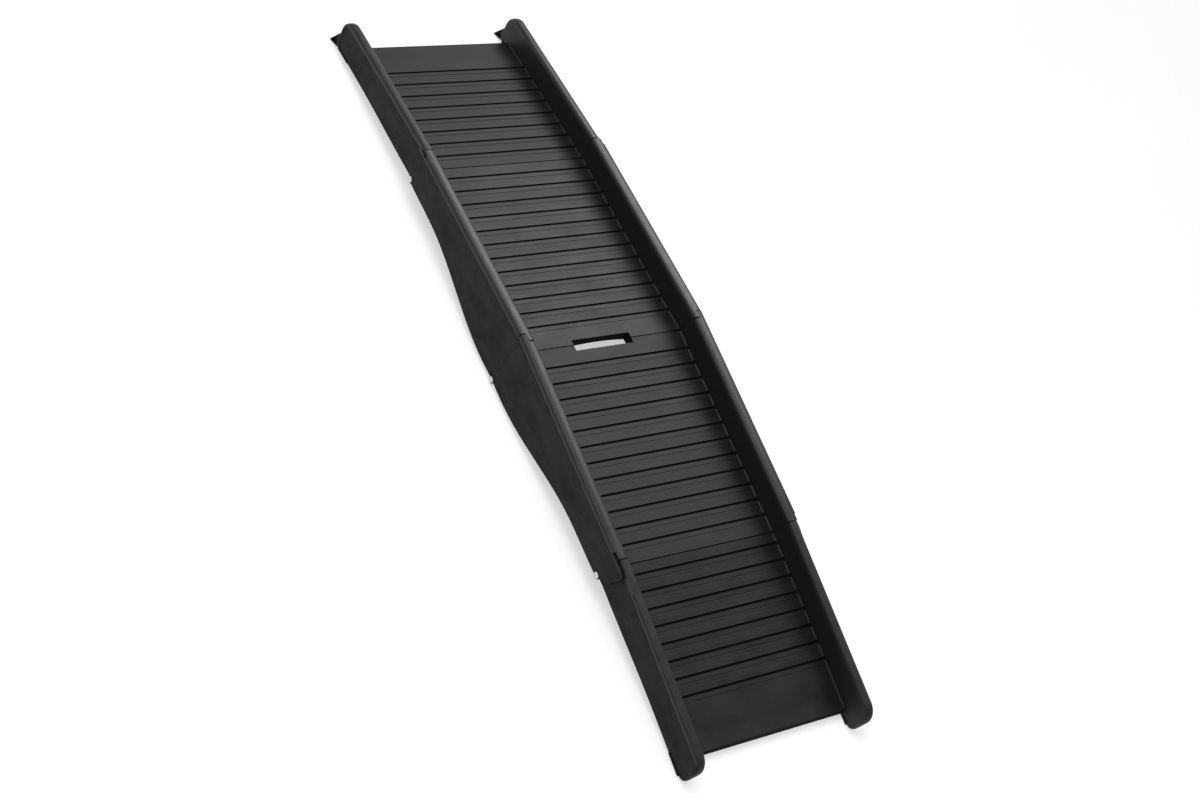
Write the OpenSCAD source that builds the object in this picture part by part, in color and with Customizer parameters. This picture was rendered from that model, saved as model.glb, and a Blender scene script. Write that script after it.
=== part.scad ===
// Folding dog ramp: four hinged plastic sections that open into a shallow arch.
// X runs along the ramp towards the hooked top end, Y to its left, Z up.
// The origin lies on the floor, under the middle of the open ramp.

/* [Overall] */
// Half width over the rails of the middle sections
mid_half_w = 199; // [190:1:230]
// Deck length of each middle section, seam to seam
mid_len = 411; // [385:1:440]
// Deck length of the top section, from its seam to its free edge
top_len = 320; // [315:1:345]
// Deck length of the bottom section, from its seam to its free edge
bottom_len = 333; // [320:1:345]
// How far the rail noses reach past the deck of the top section
top_reach = 28; // [24:1:44]
// How far the rail noses reach past the deck of the bottom section
bottom_reach = 33; // [26:1:44]
// Bend between the two middle sections, in degrees
centre_bend = 6.9; // [5:0.1:9]
// Bend between a middle section and its end section, in degrees
outer_bend = 3.6; // [2.5:0.1:5]
// Gap between the faces that butt when the ramp is open
butt_gap = 0.4; // [0.3:0.05:0.8]

/* [Rails and walls] */
// Width of a rail across its cap, middle sections
rail_w = 24.4; // [23:0.2:28]
// Height of the rail above the deck
rail_h = 51; // [44:1:54]
// Wall thickness of the mouldings
wall = 3; // [2.4:0.1:3.2]
// Rounding of the rail cap's edges
cap_r = 6; // [4:0.5:7]
// Radius of the crown across the rail cap
crown_r = 30; // [24:1:60]
// Depth of the cap's side legs
cap_leg = 8; // [7:0.5:10]
// How far the cap overhangs the outer wall
lip = 1.6; // [1.6:0.1:2.4]
// Side clearance of an end section nested in a middle one
nest_gap = 0.9; // [0.7:0.1:1.5]
// Depth of the side wall below the deck at the outer hinge
wall_d_outer = 26; // [24:0.5:30]
// Where the deep part of the side wall starts to rise, from the centre seam
ogee_start = 30; // [20:5:60]
// Where the side wall has become shallow, from the centre seam
ogee_end = 320; // [280:5:350]
// Wall depth below the deck of an end section at its hinge
end_d_hinge = 23; // [21:0.5:25]
// Wall depth below the deck of an end section at its nose
end_d_nose = 16; // [14:0.5:18]
// Spacing of the webs inside the rails
web_pitch = 92; // [70:2:130]
// Thickness of webs and ribs
rib_t = 2.2; // [1.8:0.1:3]

/* [Noses and hooks] */
// Upper rounding of a rail nose
nose_r_top = 29; // [24:1:32]
// Lower rounding of a rail nose
nose_r_low = 13; // [11:1:15]
// How far a hook lug reaches past the nose
hook_reach = 22; // [12:1:26]
// How far the tip of a hook lug hangs below the nose
hook_drop = 8; // [4:1:10]
// Height of a hook lug at its root
hook_h = 27; // [20:1:30]
// Width of a hook lug
hook_w = 13; // [8:0.5:13]
// Length of a rubber foot
foot_len = 34; // [26:1:40]
// Width of a rubber foot
foot_w = 11; // [8:0.5:12]
// Thickness of a rubber foot at its outer end
foot_t = 2.4; // [2:0.1:3]

/* [Deck] */
// Thickness of the deck plate
deck_t = 3; // [2.8:0.1:4]
// Height of the raised treads
tread_h = 2.8; // [1.6:0.1:3.2]
// Distance from groove to groove
pitch = 30.9; // [29:0.1:31]
// Width of a groove between two treads
groove_w = 4.4; // [3:0.2:6]
// Depth of the thin step line beside each groove
step_d = 0.7; // [0.4:0.1:1]
// Width of the thin step line
step_w = 1.2; // [0.8:0.1:2]
// How far the treads stop before a seam
seam_relief = 1; // [0.4:0.1:2]
// Margin between the end of a tread and the rail
tread_side = 3; // [2:0.5:6]
// Rounding of the tread ends
tread_r = 3.5; // [2:0.5:4]
// Number of grooves on a middle section
mid_grooves = 12; // [8:1:12]
// Number of grooves on an end section
end_grooves = 8; // [5:1:8]
// First groove of the upper middle section, from the centre seam
upper_first = 47.7; // [42:0.1:52]
// First groove of the lower middle section, from the centre seam
lower_first = 37; // [34:0.1:44]
// First groove of the top section, from its seam
top_first = 30.8; // [26:0.1:36]
// First groove of the bottom section, from its seam
bottom_first = 20.2; // [15:0.1:24]
// Depth of the deck ribs below the walking surface
rib_d = 14.5; // [12:0.5:15.5]
// Number of lengthwise ribs
long_ribs = 5; // [3:1:7]
// Rounding of the free deck edges
edge_r = 5; // [3:0.5:6]

/* [Hand slot] */
// Length of the slot across the ramp
slot_len = 126; // [100:2:140]
// Width of the slot along the ramp, both halves together
slot_w = 21.6; // [18:0.4:26]
// Depth of the collar around the slot
collar_d = 21; // [16:0.5:24]
// Rise of the collar's arched lower edge in the middle
slot_arch = 5; // [2:0.5:5]

/* [Hinges] */
// Depth of the outer hinge pins below the deck
pin_d_outer = 20; // [19:0.5:22]
// Depth of the centre hinge pins below the deck
pin_d_centre = 79; // [78:0.5:84]
// Radius of the hinge pins
pin_r = 3.5; // [3:0.1:4]
// Radial play of a pin in the knuckle that turns on it
pin_play = 0.08; // [0.05:0.01:0.1]
// Radial play of a pin in the ears that hold it
ear_play = 0.03; // [0.02:0.01:0.05]
// Radius of the round knuckles and ears
knuckle_r = 7.5; // [7:0.1:8.5]
// Clearance round a knuckle
knuckle_gap = 0.8; // [0.6:0.1:1.2]
// Thickness of the knuckle that turns on a pin
knuckle_t = 5.2; // [4.4:0.1:5.6]
// Side play of a knuckle between its ears
side_play = 0.4; // [0.3:0.05:0.6]
// Thickness of the inner ears
ear_t = 3.8; // [3:0.1:4.4]
// Radius of the pin heads
head_r = 6; // [5:0.1:7]
// Thickness of the pin heads
head_t = 1.5; // [1.2:0.1:1.6]
// Radius of the retaining clips
clip_r = 6.4; // [5.5:0.1:7]
// Thickness of the retaining clips
clip_t = 1.1; // [0.8:0.1:1.4]
// How far the side flaps reach past the outer seams
flap_reach = 35; // [24:1:38]
// Height of the tip of the upper flaps above the deck
flap_tip_upper = 13; // [8:1:30]
// Height of the tip of the lower flaps above the deck
flap_tip_lower = 38; // [30:1:40]
// Length of the plain neck of the bottom section's rail cap, from its seam
plain_neck = 62; // [50:1:70]
// How far the narrow cap neck reaches past the outer seams
neck_reach = 4; // [2:0.5:6]
// How far the wide cap stops before the outer seams
neck_back = 9; // [6:0.5:14]
// Reach of the inner cap tongue over the centre seam
tongue_in = 6.5; // [4:0.5:8]
// Reach of the outer cap tongue over the centre seam
tongue_out = 6; // [4:0.5:8]
// Play beside and below the cap tongues
tongue_gap = 0.5; // [0.4:0.1:0.8]
// Open notch at the end of each cap tongue
tongue_notch = 2.2; // [1:0.1:3]

/* [Hidden] */
$fn = 48;
eps = 0.01;
far = 600;

plastic = "#3a3b3d";
steel = "#c4c6c8";
clip_steel = "#8f9498";
rubber = "#1d1d1f";

// Faces across the ramp, measured from its centre line
skirt_out = mid_half_w - lip;
skirt_in = skirt_out - wall;
rail_in = mid_half_w - rail_w;
end_half_w = skirt_in - nest_gap;
end_wall_out = end_half_w - lip;
end_wall_in = end_wall_out - wall;
knuckle_out = skirt_in - side_play;
knuckle_in = knuckle_out - knuckle_t;
ear_out = knuckle_in - side_play;
ear_in = ear_out - ear_t;
clear_r = knuckle_r + knuckle_gap;
column_u = 15;

// How far below the crown the rounded edges of a cap of a given width are centred
function edge_depth(width) = crown_r
    - sqrt(pow(crown_r - cap_r, 2) - pow(width / 2 - cap_r, 2));
cap_side = edge_depth(rail_w);
cap_t = wall + cap_side - cap_r;

// Slopes of the decks when the ramp is open
mid_slope = centre_bend / 2;
end_slope = mid_slope + outer_bend;
half_outer = outer_bend / 2;
// The folded end sections pass under the inner walls of the middle ones
inner_d = rib_d - 3.5;

// The pins lie in the planes that halve the bends
mid_pin_c = [pin_d_centre * sin(mid_slope), -pin_d_centre * cos(mid_slope)];
mid_pin_o = [mid_len - pin_d_outer * sin(half_outer), -pin_d_outer * cos(half_outer)];
end_pin = [pin_d_outer * sin(half_outer), -pin_d_outer * cos(half_outer)];

// Places in the side view: u along a section, w above its deck, half 1 or -1
top_nose = top_len + top_reach;
bottom_nose = bottom_len + bottom_reach;
function foot_end(nose) = nose - nose_r_low;
function foot_start(nose) = foot_end(nose) - foot_len;
seam_x = mid_len * cos(mid_slope);
seam_drop = mid_len * sin(mid_slope);
hook_tip = [top_nose + hook_reach, -end_d_nose - hook_drop];
function end_pt(half, u, w) = [half * (seam_x + u * cos(end_slope) + w * sin(end_slope)),
    -seam_drop - u * sin(end_slope) + w * cos(end_slope)];

// The open ramp stands on its bottom feet and on the tips of its hook lugs
low_rest = end_pt(-1, foot_end(bottom_nose), -end_d_nose - foot_t);
top_rest = end_pt(1, hook_tip[0] - 1.5, hook_tip[1]);
stand_tilt = atan2(low_rest[1] - top_rest[1], top_rest[0] - low_rest[0]);
lift = -(low_rest[0] * sin(stand_tilt) + low_rest[1] * cos(stand_tilt));
function stood(p) = [p[0] * cos(stand_tilt) - p[1] * sin(stand_tilt),
    p[0] * sin(stand_tilt) + p[1] * cos(stand_tilt) + lift];

// The origin lies under the middle of the ramp's length
top_x = stood(end_pt(1, hook_tip[0], hook_tip[1] + 1.5))[0];
low_x = max(-stood(end_pt(-1, bottom_nose - nose_r_low, nose_r_low - end_d_nose))[0] + nose_r_low,
    -stood(end_pt(-1, bottom_nose - nose_r_top, rail_h - nose_r_top))[0] + nose_r_top);
shift_x = (low_x - top_x) / 2;

// Smooth step from 0 to 1
function blend(t) = let (c = min(1, max(0, t))) (1 - cos(180 * c)) / 2;
// Depth of a middle side wall at distance u from the centre seam
function skirt_d(u) = let (deep = pin_d_centre * cos(mid_slope) - 0.6)
    deep - (deep - wall_d_outer) * (0.75 * blend((u - ogee_start) / (ogee_end - ogee_start))
    + 0.25 * blend((u - ogee_start) / (mid_len - ogee_start)));
// Depth of an end side wall at distance u from its seam
function end_d(u) = end_d_hinge - (end_d_hinge - end_d_nose) * blend(u / (top_len * 0.8));

// Placement

module on_side(side) {
    mirror([0, side < 0 ? 1 : 0, 0]) children();
}

module both_sides() {
    on_side(1) children();
    on_side(-1) children();
}

// The open arch, set on the floor
module stand() {
    translate([shift_x, 0, lift])
        rotate([0, -stand_tilt, 0]) children();
}

// A middle section: u along X from the centre seam, w along Z from the deck
module place_mid(half) {
    stand()
        mirror([half < 0 ? 1 : 0, 0, 0])
            rotate([0, mid_slope, 0]) children();
}

// An end section: u along X from its seam, w along Z from the deck
module place_end(half) {
    stand()
        mirror([half < 0 ? 1 : 0, 0, 0])
            translate([seam_x, 0, -seam_drop])
                rotate([0, end_slope, 0]) children();
}

// A flat outline in u and w, made into a plate between two distances from the centre line
module plate_y(y0, y1) {
    translate([0, y1, 0])
        rotate([90, 0, 0])
            linear_extrude(height = y1 - y0) children();
}

// A bar along Y on a pin line
module round_y(at, r, y0, y1) {
    translate([at[0], y1, at[1]])
        rotate([90, 0, 0])
            cylinder(r = r, h = y1 - y0);
}

module box(u0, u1, y0, y1, w0, w1) {
    translate([u0, y0, w0])
        cube([u1 - u0, y1 - y0, w1 - w0]);
}

// Everything beyond a butting plane: at u0 on the deck, leaning by an angle
module beyond(u0, lean, toward, y0 = -far, y1 = far, w0 = -far, w1 = far) {
    translate([u0, 0, 0])
        rotate([0, -lean, 0])
            box(toward < 0 ? -far : 0, toward < 0 ? 0 : far, y0, y1, w0, w1);
}

// Rail cap: profile across the rail with its top at n = 0, crowned between rounded edges
module cap_profile(y0, y1, leg) {
    half = (y1 - y0) / 2;
    side = edge_depth(2 * half);
    spread = 1.5 * (half - cap_r) * crown_r / (crown_r - side);
    translate([y0 + half, 0])
        difference() {
            union() {
                translate([-half, -leg])
                    square([2 * half, leg - side]);
                for (y = [cap_r - half, half - cap_r])
                    translate([y, -side]) circle(r = cap_r);
                intersection() {
                    translate([0, -crown_r])
                        circle(r = crown_r, $fn = 240);
                    polygon([[0, -crown_r], [spread, crown_r / 2], [-spread, crown_r / 2]]);
                    translate([-half, -leg])
                        square([2 * half, leg + 1]);
                }
            }
            translate([wall - half, -leg - 1])
                square([2 * half - lip - 2 * wall, leg + 1 - cap_t]);
        }
}

// Straight run of cap from u0 to u1, with its top at height h
module cap_run(u0, u1, h, y0, y1) {
    translate([u0, 0, h])
        rotate([90, 0, 90])
            linear_extrude(height = u1 - u0) cap_profile(y0, y1, cap_leg);
}

// Quarter turn of the cap about an axis along Y
module cap_bend(u, w, r, y0, y1, start) {
    translate([u, 0, w])
        rotate([90, 0, 0])
            rotate([0, 0, start])
                rotate_extrude(angle = 90, $fn = 96)
                    translate([r, 0])
                        rotate([0, 0, -90])
                            cap_profile(y0, y1, min(cap_leg, r - 1));
}

// Deck

// A raised tread from u0 to u1 with rounded ends
module tread(u0, u1) {
    half = rail_in - tread_side;
    r = min(tread_r, (u1 - u0) / 2 - 0.1);
    translate([0, 0, -tread_h])
        linear_extrude(height = tread_h) {
            translate([u0 + r, -half])
                square([u1 - u0 - 2 * r, 2 * half]);
            translate([u0, -half + r])
                square([u1 - u0, 2 * (half - r)]);
            for (u = [u0 + r, u1 - r], y = [-half + r, half - r])
                translate([u, y]) circle(r = r);
        }
}

// Treads of a deck from u0 to u1, grooves from g0 on, each with its step line on one side
module treads(u0, u1, g0, count, low_side) {
    difference() {
        for (i = [0 : count])
            tread(i == 0 ? u0 : g0 + (i - 1) * pitch + groove_w / 2,
                i == count ? u1 : g0 + i * pitch - groove_w / 2);
        for (i = [0 : count - 1])
            translate([g0 + i * pitch + low_side * pitch / 3, 0, 0])
                box(-step_w / 2, step_w / 2, -far, far, -step_d, 1);
    }
}

// Deck plate with ribs below it
module deck_body(u0, u1, g0, count) {
    box(u0, u1, -rail_in - wall, rail_in + wall, -tread_h - deck_t, -tread_h);
    for (i = [0 : count - 1])
        box(g0 + i * pitch - rib_t / 2, g0 + i * pitch + rib_t / 2,
            -rail_in - eps, rail_in + eps, -rib_d, -tread_h - eps);
    for (i = [0 : long_ribs - 1]) {
        y = -rail_in + (i + 1) * 2 * rail_in / (long_ribs + 1);
        box(u0, u1, y - rib_t / 2, y + rib_t / 2, -rib_d, -tread_h - eps);
    }
}

// Middle sections

module skirt_outline() {
    steps = 32;
    polygon(concat(
        [[-12, rail_h - cap_side], [-12, -skirt_d(0)]],
        [for (i = [0 : steps]) let (u = i * mid_len / steps) [u, -skirt_d(u)]],
        [[mid_len + 12, -skirt_d(mid_len)], [mid_len + 12, rail_h - cap_side]]));
}

// Flap of the outer wall that laps over the end section and carries the pin
module flap_outline(tip) {
    p = mid_pin_o;
    top = rail_h - cap_side - 1;
    polygon([[mid_len - 22, top], [mid_len + 0.45 * flap_reach, top],
        [mid_len + flap_reach - 0.35 * (top - tip), (top + tip) / 2],
        [mid_len + flap_reach, tip], [mid_len + 0.68 * flap_reach, -6],
        [p[0] + knuckle_r * cos(30), p[1] + knuckle_r * sin(30)], p,
        [p[0] - knuckle_r * 0.7, p[1] - knuckle_r * 0.7], [mid_len - 22, -wall_d_outer]]);
    translate(p) circle(r = knuckle_r);
}

// Column that carries the centre hinge at one side
module centre_column(y0, y1) {
    box(-12, column_u, y0, y1, -pin_d_centre + 0.6, rail_h - wall);
}

module middle_side(flap_tip, outer_ears) {
    c = mid_pin_c;
    o = mid_pin_o;
    // outer wall, inner wall and cap
    difference() {
        plate_y(skirt_in, skirt_out) skirt_outline();
        box(mid_len - neck_back, far, 0, far, rail_h - cap_side - 1, far);
        box(mid_len - 22, far, 0, far, -far, rail_h - cap_side - 1);
    }
    plate_y(skirt_in, skirt_out) flap_outline(flap_tip);
    box(-12, mid_len + 12, rail_in, rail_in + wall, -inner_d, rail_h - cap_side);
    difference() {
        cap_run(-12, mid_len + neck_reach, rail_h, rail_in, mid_half_w);
        box(mid_len - neck_back, far, skirt_in - nest_gap, far, -far, far);
    }
    // neck wall behind the flap
    box(mid_len - neck_back - wall, mid_len - neck_back, rail_in + wall - 0.5,
        skirt_out - wall / 2, -tread_h - deck_t, rail_h - wall + 0.5);
    box(mid_len - neck_back - wall, mid_len + 12, end_wall_in, end_half_w,
        12, rail_h - cap_side);
    // webs in the hollow rail
    for (u = [web_pitch : web_pitch : mid_len - web_pitch / 2])
        box(u, u + rib_t, rail_in + wall - 0.5, skirt_out - wall / 2, 0, rail_h - wall + 0.5);
    // floor strip that ties the inner wall to the outer one at the outer end
    box(mid_len - 34, mid_len + 12, rail_in, ear_out, -tread_h - deck_t, -tread_h);
    box(mid_len - 34, mid_len - neck_back, rail_in, skirt_out - wall / 2, -tread_h - deck_t, -tread_h);
    // inner ear of the outer hinge
    plate_y(ear_in, ear_out) {
        translate(o) circle(r = knuckle_r);
        polygon([[mid_len - 26, -tread_h], [mid_len + 12, -tread_h],
            [mid_len + 12, o[1] + 1], [o[0], o[1]], [o[0] - knuckle_r, o[1] + 1]]);
    }
    // centre hinge: ears outside and inside, or one knuckle between them
    if (outer_ears) {
        round_y(c, knuckle_r, skirt_in, skirt_out);
        round_y(c, knuckle_r, ear_in, ear_out);
        centre_column(ear_in, ear_out);
        difference() {
            centre_column(ear_out - eps, skirt_out - wall / 2);
            round_y(c, clear_r, ear_out, skirt_in);
        }
    } else {
        round_y(c, knuckle_r, knuckle_in, knuckle_out);
        difference() {
            centre_column(ear_in, skirt_out - wall / 2);
            round_y(c, clear_r, 0, knuckle_in);
        }
    }
}

// Cuts that the two halves of the centre hinge make for each other
module centre_cuts(outer_ears) {
    c = mid_pin_c;
    if (outer_ears) {
        // room for the partner's knuckle
        round_y(c, clear_r, ear_out, skirt_in);
        // the partner's inner cap tongue
        beyond(tongue_in + tongue_notch, mid_slope, -1, rail_in - 1, mid_half_w - rail_w / 2 + tongue_gap,
            rail_h - cap_leg - tongue_gap, far);
    } else {
        round_y(c, clear_r, skirt_in, far);
        round_y(c, clear_r, 0, knuckle_in);
        beyond(tongue_out + tongue_notch, mid_slope, -1, mid_half_w - rail_w / 2 - tongue_gap, far,
            rail_h - cap_leg - tongue_gap, far);
    }
    // hand slot
    box(-far, slot_w / 2, -1, slot_len / 2, -far, 5);
}

module middle_side_cut(outer_ears) {
    c = mid_pin_c;
    // the butting face at the centre seam, except round the hinge and at the cap tongue
    difference() {
        beyond(butt_gap / 2, mid_slope, -1, -eps, far);
        if (outer_ears) {
            round_y(c, knuckle_r, skirt_in - eps, skirt_out + eps);
            round_y(c, knuckle_r, ear_in - eps, ear_out + eps);
            tongue_room(-tongue_out, mid_half_w - rail_w / 2, far);
        } else {
            round_y(c, knuckle_r, knuckle_in - eps, knuckle_out + eps);
            tongue_room(-tongue_in, 0, mid_half_w - rail_w / 2);
        }
    }
    centre_cuts(outer_ears);
    // the butting face at the outer seam, except the flap, the ears and the cap neck
    difference() {
        beyond(mid_len - butt_gap / 2, -half_outer, 1, -eps, far);
        round_y(mid_pin_o, knuckle_r, ear_in - eps, ear_out + eps);
        box(mid_len - 5, far, skirt_in - eps, far, -far, far);
        beyond(mid_len + neck_reach, -half_outer, -1, rail_in - eps, end_half_w + eps,
            rail_h - cap_leg, far);
    }
    // bores
    round_y(c, pin_r + (outer_ears ? ear_play : pin_play), ear_in - 1, skirt_out + 1);
    round_y(mid_pin_o, pin_r + ear_play, ear_in - 1, skirt_out + 1);
    // room for the end section's knuckle
    round_y(mid_pin_o, clear_r, ear_out, skirt_in);
}

// Space of a cap tongue that stays when the butting face is cut
module tongue_room(u0, y0, y1) {
    beyond(u0, mid_slope, 1, y0, y1, rail_h - cap_leg, far);
}

// Collar of the hand slot, with an arched lower edge
module slot_collar() {
    r = (pow(slot_len / 2, 2) + pow(slot_arch, 2)) / (2 * slot_arch);
    difference() {
        box(-12, slot_w / 2 + wall, -slot_len / 2 - wall, slot_len / 2 + wall,
            -collar_d, -tread_h);
        translate([-20, 0, slot_arch - collar_d - r])
            rotate([0, 90, 0])
                cylinder(r = r, h = 40, $fn = 180);
    }
}

module middle(first, flap_tip, outer_ears) {
    low_side = outer_ears ? 1 : -1;
    difference() {
        union() {
            treads(seam_relief, mid_len - seam_relief, first, mid_grooves, low_side);
            deck_body(-12, mid_len + 12, first, mid_grooves);
            // flanges under both deck ends
            box(-12, wall, -rail_in, rail_in, -rib_d, -tread_h);
            box(mid_len - wall, mid_len + 12, -rail_in, rail_in, -rib_d, -tread_h);
            slot_collar();
            both_sides() middle_side(flap_tip, outer_ears);
        }
        both_sides() middle_side_cut(outer_ears);
    }
}

// End sections

module nose_outline(nose, inset) {
    rt = nose_r_top - inset;
    rl = nose_r_low - inset;
    ut = nose - nose_r_top;
    ul = nose - nose_r_low;
    wt = rail_h - nose_r_top;
    wl = nose_r_low - end_d_nose;
    translate([ut, wt]) circle(r = rt, $fn = 96);
    translate([ul, wl]) circle(r = rl, $fn = 96);
    polygon([[ut, rail_h - inset], [ut, wl - rl], [ul, wl - rl], [ul, wl],
        [nose - inset, wl], [nose - inset, wt], [ut, wt]]);
}

module end_outline(nose) {
    steps = 20;
    last = foot_start(nose) - 6;
    polygon(concat(
        [[-12, rail_h - cap_side], [-12, -end_d(0)]],
        [for (i = [0 : steps]) let (u = i * last / steps) [u, -end_d(u)]],
        [[nose - nose_r_low, -end_d_nose], [nose - nose_r_top, rail_h - cap_side]]));
    nose_outline(nose, cap_side);
}

module end_side(len, nose, hooked) {
    p = end_pin;
    ut = nose - nose_r_top;
    wt = rail_h - nose_r_top;
    ul = nose - nose_r_low;
    wl = nose_r_low - end_d_nose;
    foot_u1 = foot_start(nose);
    plate_y(end_wall_in, end_wall_out) end_outline(nose);
    // inner wall: above the deck, and closed round the nose
    box(-12, ut, rail_in, rail_in + wall, -rib_d, rail_h - cap_side);
    plate_y(rail_in, rail_in + wall) {
        nose_outline(nose, cap_side);
        translate([foot_u1 - 6, -end_d_nose])
            square([ut - foot_u1 + 6, 20]);
    }
    // cap, swept round the nose
    cap_run(-12, ut, rail_h, rail_in, end_half_w);
    cap_bend(ut, wt, nose_r_top, rail_in, end_half_w, 0);
    translate([nose, 0, wl]) nose_front(wt - wl);
    cap_bend(ul, wl, nose_r_low, rail_in, end_half_w, -90);
    // floor of the nose
    box(foot_u1 - 6, ul, rail_in, end_half_w, -end_d_nose, wall - end_d_nose);
    box(foot_u1 - 6, foot_u1 - 6 + wall, rail_in, end_wall_out, -end_d_nose, -tread_h);
    // end wall of the rail at the hinge, behind the knuckle
    box(wall, 2 * wall, rail_in + wall - 0.5, end_wall_out - wall / 2,
        -rib_d + 6, rail_h - wall + 0.5);
    // webs in the hollow rail
    for (u = [web_pitch : web_pitch : len - web_pitch / 2])
        box(u, u + rib_t, rail_in + wall - 0.5, end_wall_out - wall / 2,
            -tread_h, rail_h - wall + 0.5);
    // knuckle with its arm
    round_y(p, knuckle_r, knuckle_in, knuckle_out);
    plate_y(knuckle_in, end_wall_out)
        polygon([p, [p[0] + 0.4 * knuckle_r, p[1] - 0.7 * knuckle_r],
            [40, 3 - end_d(36)], [40, -6], [-12, -6], [-12, p[1]]]);
    if (hooked) hook();
}

// Upright front of the nose, with the cap's profile
module nose_front(height) {
    rotate([0, 0, -90])
        mirror([1, 0, 0])
            linear_extrude(height = height)
                cap_profile(rail_in, end_half_w, cap_leg);
}

// Hook lug at the foot of the top noses: a web with a flange round it. Folded, it lies
// beside the inner wall of the middle section
module hook() {
    mid_y = rail_in + wall + nest_gap + hook_w / 2;
    difference() {
        plate_y(mid_y - hook_w / 2, mid_y + hook_w / 2)
            difference() {
                polygon([[top_nose - 3, hook_h - end_d_nose], [top_nose - 0.5, hook_h - end_d_nose],
                    hook_tip + [0, 1.5], hook_tip - [1.5, 0],
                    [top_nose - nose_r_low + 0.6, -end_d_nose + 0.6],
                    [top_nose - nose_r_low, -end_d_nose + 3]]);
                translate([top_nose - nose_r_low, nose_r_low - end_d_nose])
                    circle(r = nose_r_low - wall, $fn = 96);
            }
        for (y = [mid_y - hook_w / 2 - 1, mid_y + wall / 2])
            plate_y(y, y + (hook_w - wall) / 2 + 1)
                polygon([[top_nose + 1, hook_h - end_d_nose - 7], hook_tip + [-3.2, 3.6],
                    [top_nose - 3, -end_d_nose + 0.6]]);
    }
}

module end_side_cut(lower) {
    p = end_pin;
    // the butting face at the seam, except the knuckle
    difference() {
        beyond(butt_gap / 2, half_outer, -1, -eps, far);
        round_y(p, knuckle_r, knuckle_in - eps, knuckle_out + eps);
    }
    // the middle section's cap neck
    beyond(neck_reach + butt_gap, half_outer, -1, -eps, far, rail_h - cap_leg - tongue_gap, far);
    // room for the ears of the middle section
    round_y(p, clear_r, ear_in - side_play, ear_out + side_play);
    round_y(p, clear_r, knuckle_out, far);
    // plain neck of the cap where the lower flap laps over it
    if (lower)
        box(-far, plain_neck, end_wall_out, far, -far, far);
    round_y(p, pin_r + pin_play, ear_in - 1, skirt_out + 1);
}

module end_section(len, nose, first, hooked, lower) {
    difference() {
        union() {
            treads(seam_relief, len - edge_r, first, end_grooves, hooked ? -1 : 1);
            deck_body(-12, len - edge_r, first, end_grooves);
            box(-12, wall, -rail_in, rail_in, -rib_d, -tread_h);
            // rounded free edge
            box(len - edge_r - 6, len - edge_r, -rail_in - eps, rail_in + eps, -deck_t, 0);
            intersection() {
                translate([len - edge_r, rail_in + eps, -edge_r])
                    rotate([90, 0, 0])
                        cylinder(r = edge_r, h = 2 * rail_in + 2 * eps);
                box(len - edge_r - eps, len, -far, far, -edge_r, 0);
            }
            box(len - wall, len, -rail_in - eps, rail_in + eps, -rib_d, -edge_r);
            both_sides() end_side(len, nose, hooked);
        }
        both_sides() end_side_cut(lower);
        both_sides() foot_peg(nose, 0.15);
    }
}

// Rubber feet: flat on the floor when the ramp stands open

module foot_peg(nose, gap) {
    y = (rail_in + end_wall_out) / 2;
    for (u = [foot_start(nose) + foot_len / 4, foot_end(nose) - foot_len / 4])
        translate([u, y, -end_d_nose - 1])
            cylinder(r = 2.6 + gap, h = 1 + wall - 0.6 + (gap > 0 ? 2 : 0));
}

module foot(half, side) {
    y = (rail_in + end_wall_out) / 2;
    depth = half > 0 ? foot_t : foot_t + 12;
    nose = half > 0 ? top_nose : bottom_nose;
    color(rubber)
        difference() {
            place_end(half)
                on_side(side) {
                    box(foot_start(nose), foot_end(nose), y - foot_w / 2, y + foot_w / 2,
                        -end_d_nose - depth, -end_d_nose);
                    foot_peg(nose, 0);
                }
            box(-3 * far, 3 * far, -far, far, -far, 0);
        }
}

// Hinge pins and their clips

module pin(at) {
    color(steel) {
        round_y(at, pin_r, ear_in - clip_t - 1.2, skirt_out + eps);
        difference() {
            round_y(at, head_r, skirt_out, skirt_out + head_t);
            translate([at[0], skirt_out + head_t, at[1]])
                rotate([90, 0, 0])
                    difference() {
                        translate([0, 0, -1])
                            cylinder(r = head_r + 1, h = 1.6);
                        translate([0, 0, -1])
                            cylinder(r1 = head_r - 1.6, r2 = head_r, h = 1.6);
                    }
        }
    }
}

module clip(at) {
    color(clip_steel)
        difference() {
            round_y(at, clip_r, ear_in - clip_t, ear_in);
            round_y(at, pin_r + ear_play, ear_in - clip_t - 1, ear_in + 1);
            for (a = [0, 120, 240])
                translate([at[0], ear_in + 1, at[1]])
                    rotate([90, a, 0])
                        translate([pin_r - 0.6, -0.5, 0])
                            cube([2, 1, clip_t + 2]);
        }
}

module outer_hinge(half, side) {
    place_mid(half) on_side(side) children();
}

module top_section() {
    color(plastic) place_end(1) end_section(top_len, top_nose, top_first, true, false);
}

module upper_middle_section() {
    color(plastic) place_mid(1) middle(upper_first, flap_tip_upper, false);
}

module lower_middle_section() {
    color(plastic) place_mid(-1) middle(lower_first, flap_tip_lower, true);
}

module bottom_section() {
    color(plastic) place_end(-1)
        end_section(bottom_len, bottom_nose, bottom_first, false, true);
}

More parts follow.
